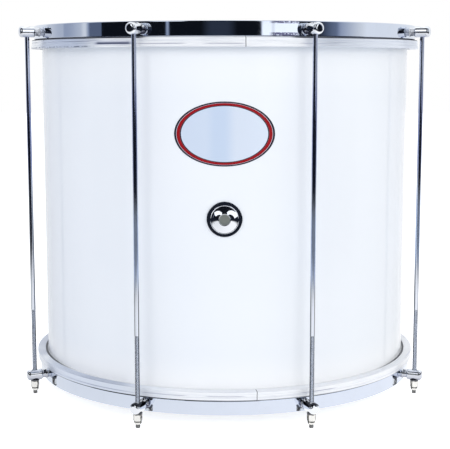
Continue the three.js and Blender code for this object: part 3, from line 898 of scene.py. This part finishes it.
def nut_skin():
    """A long hexagon over a round collar, its top at height 0.

    The hexagon's radius is 5 mm / cos(angle from the middle of a flat), cut back by a cone at each
    end, and the collar below it has a groove above and tapers to its nose."""
    across, corner, tall = 5.0, 5.68, 9.0
    angles = even_angles(96)
    flat = np.minimum(across / np.cos((angles % (math.pi / 3)) - math.pi / 6), corner)
    cone = np.array([0.0, 0.12, 0.25, 0.4, 0.55, 0.75])
    heights = np.concatenate([-cone, [-tall / 2], (-tall + cone)[::-1]])
    limit = 5.05 + np.minimum(-heights, tall + heights) * 1.2
    hexagon = np.minimum(flat, limit[:, None])
    collar = np.array([
        [4.35, -9.02], [4.3, -9.1], [4.3, -9.7], [4.5, -9.8], [4.72, -9.8], [4.8, -9.9], [4.8, -11.4],
        [4.74, -11.6], [4.1, -12.9], [4.0, -13.0], [3.4, -13.0], [3.25, -12.85], [3.25, -0.3], [3.5, 0.0]])
    ring = on_round(hexagon, angles, heights[:, None])
    grid = np.concatenate([ring, around_axis(collar, angles)])
    return Shape().patch(grid * MM, around=True, along=True, inward=True).welded()


def tension_sets(rod_finish, washer_finish, nut_finish):
    rod, washer, nut = rod_skin(), washer_skin(), nut_skin()
    for number, angle in enumerate(ROD_ANGLES, 1):
        middle = np.array([ROD_CIRCLE * math.sin(angle), -ROD_CIRCLE * math.cos(angle), 0.0])
        for name, skin, height, finish_used, body, node, slot in (
                ("threaded_rod", rod, 0.0, rod_finish, "drum", "tension_rod", "tension_rod"),
                ("flat_washer", washer, WASHER_TOP, washer_finish, f"washer_{number}", "washer", "washer"),
                ("hexagon_nut", nut, NUT_TOP, nut_finish, f"nut_{number}", "tuning_nut", "tuning_nut")):
            points, faces, values = skin
            placed = turned_about(points, angle) + middle + (0, 0, height)
            piece(f"{name}_{number}", (placed, faces, values), finish_used, body,
                  [f"{node}_{number}"], sharp=24.0)


# Vent and plate

def vent_rosette(finish_used):
    """A spun rosette with its axis along -Y: (r, height over the laminate) turned about that axis.

    Its brim's edge is bedded on the round shell, y = -sqrt(R^2 - x^2), and its tube goes through."""
    angles = even_angles(128)
    dome = np.linspace(0, 1, 9)
    bell = np.stack([16.6 - 9.1 * dome, 1.65 + 1.7 * dome + 1.9 * dome ** 2], 1)
    lip = np.linspace(0, math.pi / 2, 5)
    roll = np.stack([7.3 - 0.7 * np.sin(lip), 4.55 + 0.7 * np.cos(lip)], 1)
    bedded = -0.6
    outline = np.concatenate([
        [[22.0, bedded], [22.0, 1.0], [21.93, 1.25], [21.75, 1.43], [21.5, 1.5], [21.35, 1.5],
         [19.5, 1.5], [17.75, 1.5], [17.6, 1.5], [17.52, 1.75], [17.36, 1.98],
         [17.12, 2.08], [16.88, 1.98], [16.72, 1.78]], bell, roll,
        [[6.6, 4.3], [6.6, -17.8], [6.8, -18.0], [8.4, -18.0], [8.6, -17.8], [8.6, bedded]]]) * MM
    r, h = outline[:, :1], outline[:, 1:]
    x = r * np.sin(angles)
    z = VENT_HEIGHT - r * np.cos(angles)
    flat = -(LAMINATE_OUTER + 0.05 * MM + h) + 0 * x
    bed = -np.sqrt((LAMINATE_OUTER + 0.03 * MM) ** 2 - x ** 2)
    y = np.where(h == bedded * MM, bed, flat)
    grid = np.stack([x, y, z], -1)
    shape = Shape().patch(grid, around=True, along=True)
    piece("chromed_vent", shape.welded(), finish_used, "drum", ["vent_rosette"], sharp=30.0)


def oval_plate(finish_used):
    """A thin pressed plate on the shell: (share of the oval, turn) with height over the laminate.

    x and z follow the oval, the field is slightly crowned and a bead runs round inside the edge."""
    angles = even_angles(160)
    share = np.concatenate([
        np.linspace(0, 0.84, 12), np.linspace(0.85, 0.90, 6), np.linspace(0.91, 0.985, 8),
        [0.99, 0.995, 0.998, 1.0]])
    bead = 0.10 * np.exp(-((share - 0.875) / 0.012) ** 2)
    edge = 0.30 - 0.34 * np.clip((share - 0.985) / 0.015, 0, 1) ** 2
    height = (edge + bead + 0.05 * (1 - share ** 2)) * MM
    height[-1] = 0.02 * MM
    r, t = share[:, None], angles[None, :]
    half_width, half_height = 61.5 * MM, 39 * MM

    def bent(radius):
        lean = r * half_width * np.sin(t) / LAMINATE_OUTER
        return on_round(radius, lean, PLATE_MIDDLE - r * half_height * np.cos(t))

    plan = np.stack([r + 0 * t, 0 * r + t / (2 * math.pi)], -1)
    front = bent(LAMINATE_OUTER + 0.25 * MM + height[:, None])
    back = bent(LAMINATE_OUTER + 0.05 * MM)
    back_plan = plan * (0, 1) + (1, 0)
    shape = Shape()
    shape.patch(np.concatenate([front, back[::-1]]), around=True,
                values=np.concatenate([plan, back_plan[::-1]]), inward=True)
    piece("oval_plate", shape.welded(), finish_used, "drum", ["badge_plate"], sharp=50.0)


# Studio

def studio_floor():
    """A pale floor that glows for the camera. Metal sees it bright, most of all to the right, and
    sees it end in a dark room in front."""
    reach, steps = 9.0, 13
    run = np.linspace(-reach, reach, steps)
    plan_x, plan_y = np.meshgrid(run, run)
    points, faces, _ = Shape().patch(np.stack([plan_x, plan_y, 0 * plan_x], -1)).welded()
    mesh = bpy.data.meshes.new("studio_floor")
    mesh.from_pydata(points.tolist(), [], faces.tolist())
    floor = in_scene("studio_floor", mesh)
    f = finish("floor_paper")
    seen, glossy, through = f.rays("Camera", "Glossy", "Transmission")
    x, y = f.parts()[:2]
    paper = f.node("ShaderNodeBsdfDiffuse", inputs={"Color": (0.865, 0.885, 0.91, 1.0)})
    veil = f.node("ShaderNodeEmission", inputs={"Color": (1.0, 1.0, 1.0, 1.0), "Strength": 0.70})
    bright = f.node("ShaderNodeAddShader", inputs={0: paper, 1: veil})
    shown = f.node("ShaderNodeMixShader", inputs={0: seen, 1: paper, 2: bright})
    dark = (y * -1).rise(0.1, 0.5) * distance_of(x, y).rise(0.88, 1.5)
    pale = f.mix(x.rise(-0.4, 0.25), (0.92, 0.93, 0.94), (1.12, 1.12, 1.13))
    tint = f.mix(dark, pale, (0.012, 0.015, 0.024))
    room = f.node("ShaderNodeEmission", inputs={"Color": tint, "Strength": 1.0})
    whole = f.node("ShaderNodeMixShader", inputs={0: glossy.larger(through), 1: shown, 2: room})
    f.node("ShaderNodeOutputMaterial", inputs={"Surface": whole})
    mesh.materials.append(f.holder)


def studio_world():
    """White to the camera; even and soft for the light; for metal, a dark room with soft boxes.

    A direction is read as an azimuth from the front, in degrees to the right, and an elevation.
    Metal sees pale walls behind and beside the drum, which pass into the dark in front by a cove at
    each side, a box on either hand, a strip under the left one, and a faint jamb and doorway."""
    world = bpy.data.worlds.new("studio")
    bpy.context.scene.world = world
    w = Finish(world)
    seen, glossy, through = w.rays("Camera", "Glossy", "Transmission")
    x, y, z = w.parts(w.node("ShaderNodeTexCoord", output="Generated"))
    degrees = 180 / math.pi
    azimuth = azimuth_of(x, y) * degrees
    elevation = z.maths("ARCSINE") * degrees

    def box(middle, half_width, low, high, soft):
        """A soft-edged rectangle of azimuths and elevations."""
        wide = azimuth.bump_at(middle, half_width, soft)
        return wide * elevation.rise(low - soft, low) * (1 - elevation.rise(high, high + soft))

    def post(middle, half_width, soft, low, high):
        """A soft-edged band of azimuths that fades above and below the horizon."""
        return azimuth.bump_at(middle, half_width, soft) * (1 - abs(elevation).rise(low, high))

    to_right = x.rise(-0.15, 0.15)
    left_cove = (y + 0.12).maths("DIVIDE", 0.08, clamp=True)
    right_cove = y.rise(-0.62, -0.38) * 0.22 + y.rise(-0.40, -0.33) * 0.24
    right_cove = right_cove + (y + 0.34).maths("MULTIPLY", 1.6, clamp=True) * 0.98
    cove = left_cove * (1 - to_right) + right_cove.maths("MINIMUM", 1.0) * to_right
    leftwards = azimuth * -1
    far_left = (0.84 - leftwards.rise(89, 92) * 0.14 - leftwards.rise(86, 106) * 0.24
                + leftwards.rise(107, 109) * 0.14 + leftwards.rise(112, 124) * 0.12
                + leftwards.rise(126, 133) * 0.25)
    wall = (far_left * (1 - to_right) + to_right * 0.97).larger(elevation.rise(25, 60) * 1.2)
    panes = 1 - azimuth.bump_at(27.5, 0.5, 0.8) * 0.2
    right_box = box(31.8, 10.3, -12, 44, 1.2) * 1.32 * panes
    left_box = box(-34, 9.5, 9, 44, 1.2) * 1.4
    strip = box(-32.5, 0.2, -12, 8, 1.3) * 0.42
    jamb = post(-80.9, 5.5, 0.6, 20, 30) * 0.17
    doorway = post(-3, 3.5, 9, 8, 14) * 0.045
    boxes = right_box.larger(left_box).larger(strip).larger(jamb).larger(doorway)
    level = (cove * wall).larger(boxes).larger(0.008)
    tint = w.mix(level.rise(0.0, 0.9), (0.66, 0.85, 1.3), (0.96, 0.98, 1.0))
    soft = 0.735 + z.rise(-0.2, 1.0) * 0.16 + x * 0.145 - y * 0.10
    cast = w.mix(x.rise(-0.9, 0.1), (0.925, 0.975, 1.085), (0.99, 0.995, 1.0))
    colour = w.mix(glossy, w.scaled(cast, soft), w.scaled(tint, level))
    colour = w.mix(seen.larger(through), colour, (1.0, 1.0, 1.0))
    shade = w.node("ShaderNodeBackground", inputs={"Color": colour, "Strength": 1.0})
    w.node("ShaderNodeOutputWorld", inputs={"Surface": shade})


def soft_lamp(name, position, target, size, power):
    """A square lamp that lights without showing itself in metal."""
    light = bpy.data.lights.new(name, "AREA")
    light.shape = "SQUARE"
    light.size = size
    light.energy = power
    lamp = in_scene(name, light)
    dx, dy, dz = (aim - place for aim, place in zip(target, position))
    lamp.location = position
    lamp.rotation_euler = (math.atan2(math.hypot(dx, dy), -dz), 0, math.atan2(-dx, dy))
    lamp.visible_glossy = False
    lamp.visible_camera = False


def camera():
    """The photograph's view, fitted to its rods and hoops: from the front, 51 mm below the upper rim
    and 8 degrees down."""
    lens = bpy.data.cameras.new("camera")
    lens.sensor_width = 36.0
    lens.lens = 91.72
    made = in_scene("camera", lens)
    made.location = (0.0005, -1.6332, 0.4468)
    made.rotation_euler = (math.radians(90 - 7.963), 0, 0)
    bpy.context.scene.camera = made


# The drum

laminate_wrap(gloss_laminate())
film = coated_film()
aluminium = drawn_aluminium()
chrome = hoop_chrome()
cast = lug_chrome()
for is_upper, seam in ((True, UPPER_SEAM), (False, LOWER_SEAM)):
    head_skin(is_upper, film)
    flesh_hoop(is_upper, seam, aluminium)
    counterhoop(is_upper, chrome)
    lugs(is_upper, cast)
nickel = nut_nickel()
tension_sets(rod_chrome(), washer_zinc(), nickel)
vent_rosette(vent_chrome())
oval_plate(plate_enamel())

ply = birch_ply()
for node, carried in (("shell_ply", ply), ("upper_glue_ring", ply), ("lower_glue_ring", ply),
                      ("vent_ring_nut", nickel)):
    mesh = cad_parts[node].data
    mesh.materials.clear()
    mesh.materials.append(carried)

camera()
studio_floor()
studio_world()
soft_lamp("left_soft_box", (-1.35, -2.45, 1.5), (0, 0, 0.3), 1.0, 9)
soft_lamp("right_soft_box", (1.35, -2.45, 1.3), (0, 0, 0.3), 1.0, 9)

bpy.context.scene.view_settings.view_transform = "Standard"
